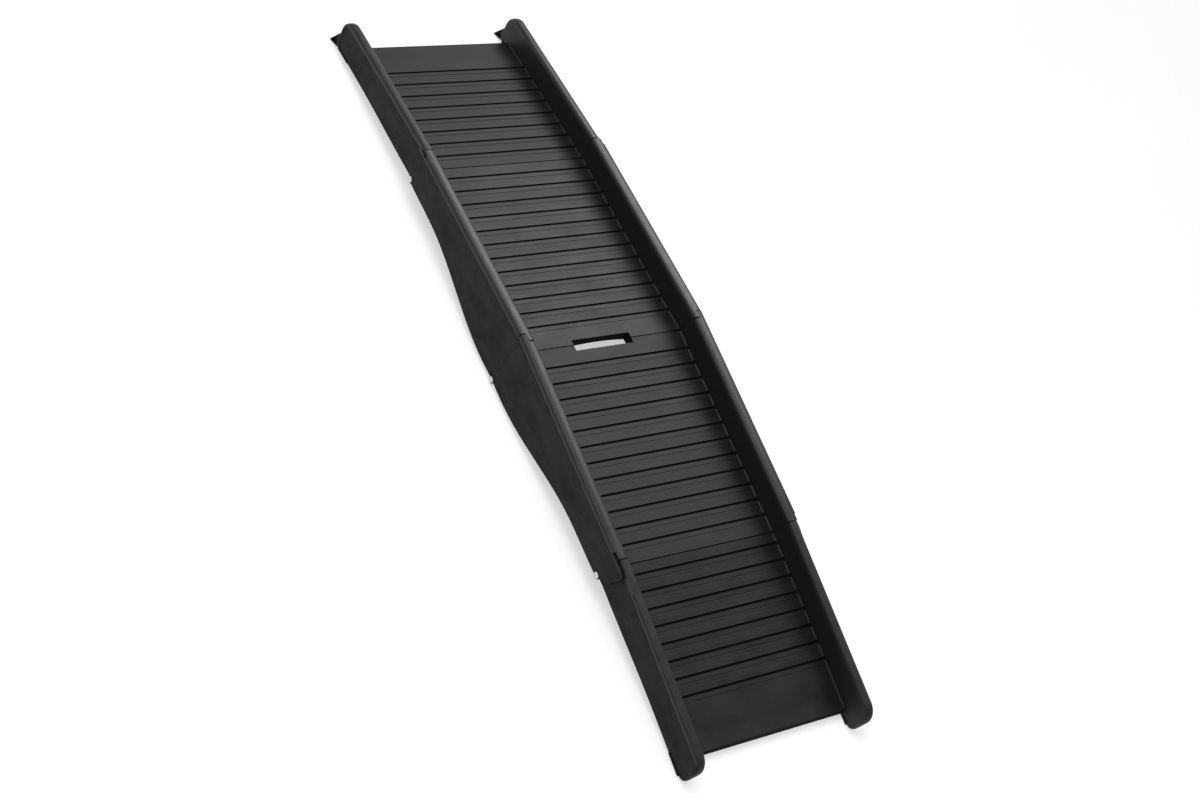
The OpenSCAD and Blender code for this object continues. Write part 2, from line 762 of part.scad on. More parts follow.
top_section();
upper_middle_section();
lower_middle_section();
bottom_section();
outer_hinge(1, 1) pin(mid_pin_o);  // pin_upper_left
outer_hinge(1, -1) pin(mid_pin_o);  // pin_upper_right
outer_hinge(-1, 1) pin(mid_pin_c);  // pin_centre_left
outer_hinge(-1, -1) pin(mid_pin_c);  // pin_centre_right
outer_hinge(-1, 1) pin(mid_pin_o);  // pin_lower_left
outer_hinge(-1, -1) pin(mid_pin_o);  // pin_lower_right
outer_hinge(1, 1) clip(mid_pin_o);  // clip_upper_left
outer_hinge(1, -1) clip(mid_pin_o);  // clip_upper_right
outer_hinge(-1, 1) clip(mid_pin_c);  // clip_centre_left
outer_hinge(-1, -1) clip(mid_pin_c);  // clip_centre_right
outer_hinge(-1, 1) clip(mid_pin_o);  // clip_lower_left
outer_hinge(-1, -1) clip(mid_pin_o);  // clip_lower_right
foot(1, 1);  // foot_top_left
foot(1, -1);  // foot_top_right
foot(-1, 1);  // foot_bottom_left
foot(-1, -1);  // foot_bottom_right
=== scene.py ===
"""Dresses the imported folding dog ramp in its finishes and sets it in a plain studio.

The moulded sections, hinge pins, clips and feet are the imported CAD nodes. This file gives them
their finishes and soft edges, adds the fine moulded detail that rides on them, and builds the
floor, the lights and the camera. Everything is in metres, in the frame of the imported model,
where a docstring doesn't say millimetres.
"""

import logging
import math
from collections.abc import Iterable
from dataclasses import dataclass, field
from enum import Enum

import bmesh
import bpy
from mathutils import Matrix, Vector


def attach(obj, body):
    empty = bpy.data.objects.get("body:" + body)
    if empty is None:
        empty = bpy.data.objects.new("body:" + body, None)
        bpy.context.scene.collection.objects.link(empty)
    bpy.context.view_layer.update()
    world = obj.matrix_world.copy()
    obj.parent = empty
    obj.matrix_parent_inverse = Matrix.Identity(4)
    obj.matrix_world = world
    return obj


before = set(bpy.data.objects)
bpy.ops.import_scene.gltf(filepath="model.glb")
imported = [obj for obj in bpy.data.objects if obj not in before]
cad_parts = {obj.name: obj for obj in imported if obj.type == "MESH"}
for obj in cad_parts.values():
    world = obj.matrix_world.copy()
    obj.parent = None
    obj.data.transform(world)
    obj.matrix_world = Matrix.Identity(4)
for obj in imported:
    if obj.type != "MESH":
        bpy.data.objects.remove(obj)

LOG = logging.getLogger("dog_ramp")
MM = 0.001

WELD_REACH = 1e-6
FLAT_ANGLE = math.radians(0.6)
EDGE_ANGLE = math.radians(38)

Socket = bpy.types.NodeSocket
Band = tuple[float, float]
Triple = tuple[float, float, float]
Colour = tuple[float, float, float, float]


class Half(Enum):
    """Which half of the open ramp a section belongs to."""

    UPPER = 1
    LOWER = -1


class Side(Enum):
    """Left or right rail, seen while walking up the ramp."""

    LEFT = 1
    RIGHT = -1


@dataclass(frozen=True)
class RampSizes:
    """The source's sizes that the detail is laid out by, in millimetres and degrees."""

    mid_len: float = 411.0
    rail_in: float = 174.6
    groove_w: float = 4.4
    pitch: float = 30.9
    tread_side: float = 3.0
    tread_h: float = 2.8
    seam_relief: float = 1.0
    mid_slope: float = 3.45
    end_slope: float = 7.05
    tilt: float = 0.279117
    lift: float = 90.0126
    shift: float = 0.522721
    seam_x: float = 410.255
    seam_drop: float = 24.7329

    def stood(self, x: float, z: float) -> Band:
        """Moves a point of the level arch to where it stands on the floor.

        Args:
            x: Distance along the arch from its centre seam.
            z: Height over the centre seam's deck.

        Returns:
            The point's x and z in the frame, in millimetres.
        """
        a = math.radians(self.tilt)
        return (
            x * math.cos(a) - z * math.sin(a) + self.shift,
            x * math.sin(a) + z * math.cos(a) + self.lift,
        )


SIZES = RampSizes()


@dataclass(frozen=True)
class Place:
    """A section's own axes: u along its deck from the seam, y across, w up from the deck."""

    half: Half
    slope: float
    seam: Band

    @property
    def angle(self) -> float:
        """The turn about the Y axis, in radians."""
        return math.radians(self.half.value * self.slope - SIZES.tilt)

    def matrix(self) -> Matrix:
        """The map from section millimetres to the frame's metres.

        Returns:
            The matrix.
        """
        shift = Matrix.Translation((self.seam[0] * MM, 0, self.seam[1] * MM))
        turn = Matrix.Rotation(self.angle, 4, "Y")
        flip = Matrix.Diagonal((self.half.value, 1, 1, 1))
        return shift @ turn @ flip @ Matrix.Scale(MM, 4)


def middle_place(half: Half) -> Place:
    """The place of a middle section.

    Args:
        half: The half of the ramp.

    Returns:
        Its place.
    """
    return Place(half, SIZES.mid_slope, SIZES.stood(0, 0))


def end_place(half: Half) -> Place:
    """The place of an end section.

    Args:
        half: The half of the ramp.

    Returns:
        Its place.
    """
    seam = SIZES.stood(half.value * SIZES.seam_x, -SIZES.seam_drop)
    return Place(half, SIZES.end_slope, seam)


class Graph:
    """A material's node tree, with short ways to add and join nodes."""

    def __init__(self, name: str) -> None:
        """Makes an empty material.

        Args:
            name: The material's name.
        """
        self.material = bpy.data.materials.new(name)
        self.material.use_nodes = True
        self.tree = self.material.node_tree
        self.tree.nodes.clear()
        self.out = self.tree.nodes.new("ShaderNodeOutputMaterial")

    def add(self, kind: str, inputs: dict | None = None, **settings: object) -> bpy.types.Node:
        """Adds a node.

        Args:
            kind: The node's Blender type.
            inputs: Socket name or number to a value, or to a socket to link from.
            settings: The node's own properties.

        Returns:
            The new node.
        """
        node = self.tree.nodes.new(kind)
        for key, value in settings.items():
            setattr(node, key, value)
        for key, value in (inputs or {}).items():
            if isinstance(value, Socket):
                self.tree.links.new(value, node.inputs[key])
            else:
                node.inputs[key].default_value = value
        return node

    def math(self, how: str, a: object, b: object = 0.0, clamp: bool = False) -> Socket:
        """One arithmetic step.

        Args:
            how: The operation.
            a: First number or socket.
            b: Second number or socket.
            clamp: Keep the result from 0 to 1.

        Returns:
            The result's socket.
        """
        node = self.add("ShaderNodeMath", {0: a, 1: b}, operation=how, use_clamp=clamp)
        return node.outputs[0]

    def spread(
        self,
        value: Socket,
        low: float,
        high: float,
        to_low: float = 0.0,
        to_high: float = 1.0,
    ) -> Socket:
        """Maps a range of values to another one, with soft ends.

        Args:
            value: The socket to map.
            low: Value that becomes to_low.
            high: Value that becomes to_high.
            to_low: Result at low.
            to_high: Result at high.

        Returns:
            The result's socket.
        """
        inputs = {
            "Value": value,
            "From Min": low,
            "From Max": high,
            "To Min": to_low,
            "To Max": to_high,
        }
        node = self.add("ShaderNodeMapRange", inputs, interpolation_type="SMOOTHSTEP")
        return node.outputs[0]

    def blend(self, share: object, a: object, b: object) -> Socket:
        """Mixes two colours.

        Args:
            share: How much of b.
            a: First colour or socket.
            b: Second colour or socket.

        Returns:
            The mixed colour's socket.
        """
        node = self.add("ShaderNodeMix", data_type="RGBA")
        for slot, value in ((0, share), (6, a), (7, b)):
            if isinstance(value, Socket):
                self.tree.links.new(value, node.inputs[slot])
            else:
                node.inputs[slot].default_value = value
        return node.outputs[2]

    def bump(self, height: Socket, depth: float, normal: Socket | None = None) -> Socket:
        """Raises the surface by a height.

        Args:
            height: Height from 0 to 1.
            depth: What a height of 1 is, in metres.
            normal: A normal to start from.

        Returns:
            The new normal's socket.
        """
        inputs = {"Height": height, "Distance": depth, "Strength": 1.0}
        if normal is not None:
            inputs["Normal"] = normal
        return self.add("ShaderNodeBump", inputs).outputs[0]

    def finish(
        self, colour: Socket, rough: object, normal: Socket, **shared: float
    ) -> bpy.types.Material:
        """Adds the main shader and closes the tree.

        Args:
            colour: Base colour's socket.
            rough: Roughness or its socket.
            normal: The normal's socket.
            shared: Other shader inputs that are the same all over, with _ for a space.

        Returns:
            The finished material.
        """
        inputs = {"Base Color": colour, "Roughness": rough, "Normal": normal}
        inputs.update({key.replace("_", " "): value for key, value in shared.items()})
        shader = self.add("ShaderNodeBsdfPrincipled", inputs)
        self.tree.links.new(shader.outputs[0], self.out.inputs[0])
        return self.material


@dataclass(frozen=True)
class Pattern:
    """A smooth noise around 0.5, on coordinates that may be stretched along each axis."""

    per_metre: float
    octaves: float
    fineness: float
    stretch: Triple = (1.0, 1.0, 1.0)

    def on(self, g: Graph, vector: Socket) -> Socket:
        """Lays the noise on coordinates.

        Args:
            g: The material's graph.
            vector: The coordinates.

        Returns:
            The noise's value socket.
        """
        scaled = g.add("ShaderNodeVectorMath", {0: vector, 1: self.stretch}, operation="MULTIPLY")
        inputs = {
            "Vector": scaled.outputs[0],
            "Scale": self.per_metre,
            "Detail": self.octaves,
            "Roughness": self.fineness,
        }
        return g.add("ShaderNodeTexNoise", inputs).outputs[0]


CLOUD = Pattern(26.0, 4.0, 0.55, (1.0, 0.45, 1.0))
MOULD_GRAIN = Pattern(1150.0, 2.0, 0.6)
DRAG_MARKS = Pattern(30.0, 3.0, 0.7, (1.0, 34.0, 1.0))
DUST_GRAINS = Pattern(340.0, 2.0, 0.5)
WALL_SMEARS = Pattern(24.0, 5.0, 0.66, (0.7, 1.0, 1.6))
SINK_MARKS = Pattern(14.0, 1.0, 0.4, (1.0, 0.5, 1.0))
TURNING_MARKS = Pattern(420.0, 3.0, 0.6, (0.3, 9.0, 0.3))
STEEL_SPOTS = Pattern(260.0, 4.0, 0.6)
RUBBER_SKIN = Pattern(900.0, 3.0, 0.6)
RUBBER_DUST = Pattern(90.0, 4.0, 0.6)
PAPER_MOTTLE = Pattern(1.6, 3.0, 0.5)
PAPER_GRAIN = Pattern(500.0, 3.0, 0.5)
PORES_PER_METRE = 720.0


def grey(tone: float, warm: float = 0.0) -> Colour:
    """A near grey colour.

    Args:
        tone: Its linear brightness.
        warm: Share that red gains and blue loses.

    Returns:
        The colour with full alpha.
    """
    return (tone * (1 + warm), tone, tone * (1 - warm), 1.0)


@dataclass(frozen=True)
class Zones:
    """Soft borders of a moulding's zones, in metres of the section's own axes.

    seam_facing alone is no length: it is how squarely a face looks along the ramp.
    """

    cap_from: Band = (0.038, 0.046)
    deck_from: Band = (-0.0016, -0.0004)
    deck_to: Band = (0.0006, 0.004)
    wall_from: Band = (0.1735, 0.1745)
    inner_wall_to: Band = (0.177, 0.179)
    inner_wall_up: Band = (0.002, 0.008)
    outer_wall_from: Band = (0.1900, 0.1912)
    seam_to: Band = (0.012, 0.014)
    seam_facing: Band = (0.6, 0.85)


@dataclass(frozen=True)
class Masks:
    """A moulding's own coordinates, and sockets from 0 to 1 that say where each zone is."""

    local: Socket
    cap: Socket
    deck: Socket
    sunk: Socket
    outer: Socket
    inner: Socket


@dataclass(frozen=True)
class Marks:
    """The uneven marks on a moulding, as sockets."""

    cloud: Socket
    fine: Socket
    pores: Socket
    scuffs: Socket
    dust: Socket
    smears: Socket


@dataclass(frozen=True)
class MouldedPlastic:
    """Black moulded plastic: fine mould grain, cloudy sheen, drag marks and scuffed treads, with
    painted shade in its grooves, at its seams and on its outer walls, and painted light on its
    inner walls and a painted highlight on its caps.

    The tones after the first are factors on it, and the bands are a factor's low and high end.
    """

    tone: float = 0.019
    rough: float = 0.5
    cap_rough: float = 0.34
    specular: float = 0.18
    # Painted shade: everything sunk below the treads between the walls, and the faces butting at
    # the seams, is darkened to this share of the tone.
    painted_sunk_shade: float = 0.3
    sunk_rough: float = 0.95
    # Painted highlight: the caps are lightened by this factor.
    cap_highlight_tone: float = 2.1
    # Painted shade: the outer walls are darkened by this factor; their smears are real random
    # mottling.
    outer_wall_shade_tone: float = 0.42
    outer_rough: float = 0.66
    # Painted light: the inner walls are lightened by this factor.
    inner_wall_light_tone: float = 1.35
    cloud_tones: Band = (0.76, 1.24)
    cloud_cool: float = -0.02
    smear_tones: Band = (0.78, 1.35)
    scuff_share: float = 0.34
    scuff_tone: float = 3.6
    dust_share: float = 0.22
    dust_tone: float = 3.0
    dust_warm: float = 0.03
    # How much of the caps' painted highlight shows, spread at random.
    cap_highlight_spread: Band = (0.75, 1.0)
    cloud_rough: float = 0.06
    scuff_rough: float = 0.1
    fine_rough: float = 0.02
    smear_rough: float = 0.04
    grain_share: float = 0.55
    grain_depth: float = 0.035 * MM
    sink_depth: float = 0.00022
    zones: Zones = field(default_factory=Zones)

    def masks(self, g: Graph, place: Place) -> Masks:
        """Finds the zones of a moulding from its own coordinates.

        Args:
            g: The material's graph.
            place: The section's place.

        Returns:
            The zones' masks.
        """
        z = self.zones
        coordinates = g.add("ShaderNodeTexCoord")
        normal = g.add("ShaderNodeSeparateXYZ", {0: coordinates.outputs["Normal"]})
        local = g.add(
            "ShaderNodeMapping",
            {
                "Vector": coordinates.outputs["Object"],
                "Location": (place.seam[0] * MM, 0, place.seam[1] * MM),
                "Rotation": (0, place.angle, 0),
                "Scale": (place.half.value, 1, 1),
            },
            vector_type="TEXTURE",
        ).outputs[0]
        parts = g.add("ShaderNodeSeparateXYZ", {0: local})
        along, high = parts.outputs["X"], parts.outputs["Z"]
        wide = g.math("ABSOLUTE", parts.outputs["Y"])

        cap = g.spread(high, *z.cap_from)
        below_cap = g.math("SUBTRACT", 1.0, cap)
        above_grooves = g.spread(high, *z.deck_from)
        deck = g.math("SUBTRACT", above_grooves, g.spread(high, *z.deck_to))
        between_walls = g.spread(wide, *z.wall_from, 1.0, 0.0)
        # Everything below the treads between the walls gets painted shade in colour().
        grooves = g.math("MULTIPLY", g.math("SUBTRACT", 1.0, above_grooves), between_walls, True)

        # Faces that butt at the seams get the same painted shade as the grooves.
        near, far = z.seam_to
        middle_end = SIZES.mid_len * MM
        near_seam = g.math(
            "ADD",
            g.spread(g.math("ABSOLUTE", along), near, far, 1.0, 0.0),
            g.spread(along, middle_end - far, middle_end - near),
            True,
        )
        facing = g.spread(g.math("ABSOLUTE", normal.outputs["X"]), *z.seam_facing)
        butting = g.math("MULTIPLY", facing, near_seam, True)

        inner = g.math(
            "MULTIPLY",
            g.spread(wide, *z.wall_from),
            g.spread(wide, *z.inner_wall_to, 1.0, 0.0),
        )
        inner = g.math("MULTIPLY", inner, g.spread(high, *z.inner_wall_up), True)
        return Masks(
            local=local,
            cap=cap,
            deck=deck,
            sunk=g.math("MAXIMUM", grooves, butting),
            outer=g.math("MULTIPLY", g.spread(wide, *z.outer_wall_from), below_cap, True),
            inner=g.math("MULTIPLY", inner, below_cap, True),
        )

    def marks(self, g: Graph, masks: Masks) -> Marks:
        """Lays the uneven marks on a moulding.

        Args:
            g: The material's graph.
            masks: The zones' masks.

        Returns:
            The marks.
        """
        local = masks.local
        cloud = CLOUD.on(g, local)
        pores = g.add("ShaderNodeTexVoronoi", {"Vector": local, "Scale": PORES_PER_METRE})
        drags = g.spread(DRAG_MARKS.on(g, local), 0.66, 0.8)
        grains = g.spread(DUST_GRAINS.on(g, local), 0.62, 0.8)
        return Marks(
            cloud=cloud,
            fine=MOULD_GRAIN.on(g, local),
            pores=pores.outputs["Distance"],
            scuffs=g.math("MULTIPLY", drags, masks.deck, True),
            dust=g.math("MULTIPLY", grains, g.spread(cloud, 0.4, 0.65)),
            smears=g.spread(WALL_SMEARS.on(g, local), 0.32, 0.7),
        )

    def colour(self, g: Graph, masks: Masks, marks: Marks) -> Socket:
        """Colours the moulding, from its treads to its grooves, with painted shade in the
        grooves, on the faces butting at the seams and on the outer walls, painted light on the
        inner walls and a painted highlight on the caps.

        Args:
            g: The material's graph.
            masks: The zones' masks.
            marks: The uneven marks.

        Returns:
            The colour's socket.
        """
        dull = grey(self.tone * self.cloud_tones[0], self.cloud_cool)
        bright = grey(self.tone * self.cloud_tones[1])
        tone = g.blend(g.spread(marks.cloud, 0.3, 0.7), dull, bright)
        scuffed = grey(self.tone * self.scuff_tone)
        tone = g.blend(g.math("MULTIPLY", marks.scuffs, self.scuff_share), tone, scuffed)
        dusty = grey(self.tone * self.dust_tone, self.dust_warm)
        tone = g.blend(g.math("MULTIPLY", marks.dust, self.dust_share), tone, dusty)

        # Painted shade on the outer walls, with real random smears.
        smeared = (grey(self.tone * self.outer_wall_shade_tone * tone) for tone in self.smear_tones)
        tone = g.blend(masks.outer, tone, g.blend(marks.smears, *smeared))
        # Painted light on the inner walls.
        tone = g.blend(masks.inner, tone, grey(self.tone * self.inner_wall_light_tone))
        # Painted highlight on the caps, uneven at random.
        uneven_highlight = g.spread(marks.cloud, 0.25, 0.75, *self.cap_highlight_spread)
        painted_highlight = g.math("MULTIPLY", masks.cap, uneven_highlight, True)
        tone = g.blend(painted_highlight, tone, grey(self.tone * self.cap_highlight_tone))
        # Painted shade in the grooves and on the faces butting at the seams.
        return g.blend(masks.sunk, tone, grey(self.tone * self.painted_sunk_shade))

    def roughness(self, g: Graph, masks: Masks, marks: Marks) -> Socket:
        """Makes the caps smoother, the grooves and outer walls duller, and all of it uneven.

        Args:
            g: The material's graph.
            masks: The zones' masks.
            marks: The uneven marks.

        Returns:
            The roughness socket.
        """
        clouds = g.spread(marks.cloud, 0.25, 0.75, -self.cloud_rough, self.cloud_rough)
        scuffs = g.math("MULTIPLY", marks.scuffs, self.scuff_rough)
        grain = g.spread(marks.fine, 0.3, 0.7, -self.fine_rough, self.fine_rough)
        sunk = g.math("MULTIPLY", masks.sunk, self.sunk_rough - self.rough)
        outer = g.math("MULTIPLY", masks.outer, self.outer_rough - self.rough)
        smears = g.spread(marks.smears, 0.0, 1.0, self.smear_rough, -self.smear_rough)
        smears = g.math("MULTIPLY", masks.outer, smears)

        rough = g.spread(masks.cap, 0.0, 1.0, self.rough, self.cap_rough)
        for change in (clouds, scuffs):
            rough = g.math("ADD", rough, change)
        for change in (grain, sunk, outer, smears):
            rough = g.math("ADD", rough, change, True)
        return rough

    def relief(self, g: Graph, masks: Masks, marks: Marks) -> Socket:
        """Raises the mould grain and the slow sink marks.

        Args:
            g: The material's graph.
            masks: The zones' masks.
            marks: The uneven marks.

        Returns:
            The normal's socket.
        """
        grain = g.math("MULTIPLY", marks.fine, self.grain_share)
        pores = g.math("MULTIPLY", marks.pores, 1 - self.grain_share)
        normal = g.bump(g.math("ADD", grain, pores), self.grain_depth)
        return g.bump(SINK_MARKS.on(g, masks.local), self.sink_depth, normal)

    def build(self, name: str, place: Place) -> bpy.types.Material:
        """Builds the finish in a section's own axes.

        Args:
            name: The material's name.
            place: The section's place.

        Returns:
            The material.
        """
        g = Graph(name)
        masks = self.masks(g, place)
        marks = self.marks(g, masks)
        return g.finish(
            self.colour(g, masks, marks),
            self.roughness(g, masks, marks),
            self.relief(g, masks, marks),
            Specular_IOR_Level=self.specular,
        )


@dataclass(frozen=True)
class TurnedSteel:
    """Bright plated steel with turning marks and a little dirt."""

    tone: float = 0.62
    rough: float = 0.26
    shine_warm: float = 0.01
    dirt_tone: float = 0.55
    dirt_warm: float = 0.04
    mark_depth: float = 0.00001

    def build(self, name: str) -> bpy.types.Material:
        """Builds the finish.

        Args:
            name: The material's name.

        Returns:
            The material.
        """
        g = Graph(name)
        here = g.add("ShaderNodeTexCoord").outputs["Object"]
        marks = TURNING_MARKS.on(g, here)
        spots = STEEL_SPOTS.on(g, here)
        clean = grey(self.tone, self.shine_warm)
        dirty = grey(self.tone * self.dirt_tone, self.dirt_warm)
        tone = g.blend(g.spread(spots, 0.45, 0.75), clean, dirty)
        rough = g.spread(spots, 0.3, 0.8, self.rough - 0.06, self.rough + 0.16)
        rough = g.math("ADD", rough, g.spread(marks, 0.3, 0.7, -0.04, 0.06), True)
        return g.finish(tone, rough, g.bump(marks, self.mark_depth), Metallic=1.0)


@dataclass(frozen=True)
class Rubber:
    """Soft black rubber with a fine matt skin and dust in its pores."""

    tone: float = 0.011
    rough: float = 0.74
    uneven: float = 0.06
    dust_tone: float = 3.2
    dust_warm: float = 0.04
    skin_depth: float = 0.00006
    specular: float = 0.3

    def build(self, name: str) -> bpy.types.Material:
        """Builds the finish.

        Args:
            name: The material's name.

        Returns:
            The material.
        """
        g = Graph(name)
        here = g.add("ShaderNodeTexCoord").outputs["Object"]
        skin = RUBBER_SKIN.on(g, here)
        dusty = grey(self.tone * self.dust_tone, self.dust_warm)
        tone = g.blend(g.spread(RUBBER_DUST.on(g, here), 0.45, 0.8), grey(self.tone), dusty)
        rough = g.spread(skin, 0.3, 0.7, self.rough - self.uneven, self.rough + self.uneven)
        normal = g.bump(skin, self.skin_depth)
        return g.finish(tone, rough, normal, Specular_IOR_Level=self.specular)


@dataclass(frozen=True)
class StudioFloor:
    """Plain pale paper with the faintest mottling."""

    tone: float = 0.86
    mottled_tone: float = 0.985
    rough: float = 0.95
    grain_depth: float = 0.00002
    specular: float = 0.1

    def build(self, name: str) -> bpy.types.Material:
        """Builds the finish.

        Args:
            name: The material's name.

        Returns:
            The material.
        """
        g = Graph(name)
        here = g.add("ShaderNodeTexCoord").outputs["Object"]
        mottle = g.spread(PAPER_MOTTLE.on(g, here), 0.3, 0.7)
        tone = g.blend(mottle, grey(self.tone), grey(self.tone * self.mottled_tone))
        normal = g.bump(PAPER_GRAIN.on(g, here), self.grain_depth)
        return g.finish(tone, self.rough, normal, Specular_IOR_Level=self.specular)


class Moulding:
    """Collects solid strips in a section's own millimetres and makes one mesh piece of them."""

    def __init__(self, name: str, place: Place) -> None:
        """Starts an empty piece.

        Args:
            name: The piece's name.
            place: The section's place.
        """
        self.name = name
        self.place = place
        self.mesh = bmesh.new()

    def strip(self, profile: Iterable[Band], start: Vector, end: Vector, across: Vector) -> None:
        """Sweeps a closed profile straight from start to end.

        Args:
            profile: Points of the profile as (across, up) distances, going round it once.
            start: One end of the sweep.
            end: The other end.
            across: Direction of the profile's first coordinate.
        """
        up = Vector((0, 0, 1))
        rings = [
            [self.mesh.verts.new(at + across * a + up * b) for a, b in profile]
            for at in (start, end)
        ]
        count = len(rings[0])
        for i in range(count):
            j = (i + 1) % count
            self.mesh.faces.new((rings[0][i], rings[0][j], rings[1][j], rings[1][i]))
        self.mesh.faces.new(rings[0][::-1])
        self.mesh.faces.new(rings[1])

    def piece(self, body: str, slot: str, material: bpy.types.Material) -> bpy.types.Object:
        """Turns what was collected into a piece that rides on a body.

        Args:
            body: The CAD body.
            slot: Not used.
            material: Its finish.

        Returns:
            The new object.
        """
        bmesh.ops.recalc_face_normals(self.mesh, faces=self.mesh.faces)
        data = bpy.data.meshes.new(self.name)
        self.mesh.to_mesh(data)
        self.mesh.free()
        data.transform(self.place.matrix())
        if self.place.half is Half.LOWER:
            data.flip_normals()
        data.materials.append(material)
        piece = bpy.data.objects.new(self.name, data)
        bpy.context.scene.collection.objects.link(piece)
        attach(piece, body)
        LOG.info("%s: %d faces on %s", self.name, len(data.polygons), body)
        return piece


@dataclass(frozen=True)
class GripLines:
    """The fine raised lines on the treads, in millimetres."""

    pitch: float = 6.4
    width: float = 1.0
    height: float = 0.12
    root: float = 0.2
    end_gap: float = 7.0
    step_gap: float = 2.6
    edge_gap: float = 3.2

    def profile(self) -> list[Band]:
        """A line's closed profile, rooted in the tread.

        Returns:
            Its points.
        """
        half, crest = self.width / 2, self.width / 5
        return [
            (-half, -self.root),
            (half, -self.root),
            (half, 0),
            (crest, self.height),
            (-crest, self.height),
            (-half, 0),
        ]


@dataclass(frozen=True)
class WallFillets:
    """The hollow fillets along the walls' feet, in millimetres."""

    radius: float = SIZES.tread_side
    steps: int = 6
    sink: float = 0.15
    into_wall: float = 0.02
    end_gap: float = 1.5
    # Painted highlight: a lighter tone than the walls', so the fillets show as a lit line along
    # the walls' feet.
    plastic: MouldedPlastic = MouldedPlastic(tone=0.028, rough=0.4, specular=0.3)

    def profile(self) -> list[Band]:
        """A fillet's closed profile, rooted in the deck beside the tread.

        Returns:
            Its points.
        """
        r = self.radius
        turns = [math.pi / 2 * i / self.steps for i in range(self.steps + 1)]
        arc = [(r - r * math.sin(a), r - r * math.cos(a) - self.sink) for a in reversed(turns)]
        return [(0, -SIZES.tread_h)] + arc + [(r, -SIZES.tread_h)]


@dataclass
class Section:
    """One moulded section: its finish, soft edges, grip lines and the fillets along its walls."""

    node: str
    body: str
    place: Place
    first_groove: float
    grooves: int
    plain_end: float
    edge: float = 0.35
    plastic: MouldedPlastic = field(default_factory=MouldedPlastic)
    grips: GripLines = field(default_factory=GripLines)
    fillets: WallFillets = field(default_factory=WallFillets)

    def treads(self) -> list[Band]:
        """The treads between the grooves.

        Returns:
            The start and end of each tread along u, in millimetres.
        """
        half = SIZES.groove_w / 2
        lines = [self.first_groove + i * SIZES.pitch for i in range(self.grooves)]
        starts = [SIZES.seam_relief] + [u + half for u in lines]
        ends = [u - half for u in lines] + [self.plain_end]
        return list(zip(starts, ends))

    def dress(self) -> None:
        """Gives the CAD moulding its finish and soft edges."""
        self.material = self.plastic.build(f"black_plastic_{self.node}", self.place)
        dress_node(self.node, self.material, edge=self.edge)

    def grip_lines(self) -> None:
        """Lays the fine grip lines on every tread, below its step line."""
        work = Moulding(f"grip_lines_{self.node}", self.place)
        grips = self.grips
        reach = SIZES.rail_in - SIZES.tread_side - grips.end_gap
        downhill = -self.place.half.value
        for low, high in self.treads()[1:-1]:
            upper, lower = (low, high) if downhill > 0 else (high, low)
            step = upper - downhill * SIZES.groove_w / 2 + downhill * SIZES.pitch / 3
            count = int((abs(lower - step) - grips.edge_gap) / grips.pitch)
            for i in range(count):
                u = step + downhill * (grips.step_gap + i * grips.pitch)
                ends = Vector((u, -reach, 0)), Vector((u, reach, 0))
                work.strip(grips.profile(), *ends, Vector((1, 0, 0)))
        work.piece(self.body, "ramp_plastic", self.material)

    def wall_fillets(self) -> None:
        """Runs a small hollow fillet along the foot of both walls, one for each tread, in a
        lighter finish that paints a highlight along them.
        """
        work = Moulding(f"wall_fillets_{self.node}", self.place)
        fillets = self.fillets
        for low, high in self.treads():
            for side in Side:
                y = side.value * (SIZES.rail_in + fillets.into_wall)
                ends = (
                    Vector((low + fillets.end_gap, y, 0)),
                    Vector((high - fillets.end_gap, y, 0)),
                )
                work.strip(fillets.profile(), *ends, Vector((0, -side.value, 0)))
        # The fillets' lighter finish paints a highlight along the walls' feet.
        painted_highlight = fillets.plastic.build(f"highlight_painted_plastic_{self.node}", self.place)
        work.piece(self.body, "ramp_plastic", painted_highlight)

    def build(self) -> None:
        """Builds everything of this section."""
        self.dress()
        self.grip_lines()
        self.wall_fillets()
        LOG.info("%s is dressed", self.node)


def dress_node(node: str, material: bpy.types.Material, edge: float = 0.0) -> None:
    """Gives a CAD node its material and, where asked, softened edges.

    Args:
        node: The CAD node's name.
        material: Its finish.
        edge: Width of the softened edges in millimetres, or 0 for none.
    """
    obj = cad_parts[node]
    obj.data.materials.clear()
    obj.data.materials.append(material)
    if edge:
        weld = obj.modifiers.new("weld", "WELD")
        weld.merge_threshold = WELD_REACH
        flat = obj.modifiers.new("flat", "DECIMATE")
        flat.decimate_type = "DISSOLVE"
        flat.angle_limit = FLAT_ANGLE
        soft = obj.modifiers.new("soft_edges", "BEVEL")
        soft.width = edge * MM
        soft.segments = 2
        soft.limit_method = "ANGLE"
        soft.angle_limit = EDGE_ANGLE
        soft.use_clamp_overlap = True
        normals = obj.modifiers.new("normals", "WEIGHTED_NORMAL")
        normals.keep_sharp = False


@dataclass
class HingeSet:
    """The pins and spring clips of the three hinges."""

    steel: TurnedSteel = field(default_factory=TurnedSteel)
    spring: TurnedSteel = field(default_factory=lambda: TurnedSteel(tone=0.32, rough=0.36))
    hinges: tuple[str, ...] = ("upper", "centre", "lower")
    pin_edge: float = 0.2

    def build(self) -> None:
        """Gives every pin and clip its finish."""
        pin, clip = self.steel.build("plated_steel"), self.spring.build("spring_steel")
        for hinge in self.hinges:
            for side in ("left", "right"):
                dress_node(f"pin_{hinge}_{side}", pin, edge=self.pin_edge)
                dress_node(f"clip_{hinge}_{side}", clip)
                LOG.info("pin and clip, %s %s", hinge, side)


@dataclass
class FeetSet:
    """The four rubber feet under the rail noses."""

    rubber: Rubber = field(default_factory=Rubber)
    edge: float = 0.3

    def build(self) -> None:
        """Gives the feet their finish."""
        skin = self.rubber.build("black_rubber")
        for end in ("top", "bottom"):
            for side in ("left", "right"):
                dress_node(f"foot_{end}_{side}", skin, edge=self.edge)
                LOG.info("foot, %s %s", end, side)


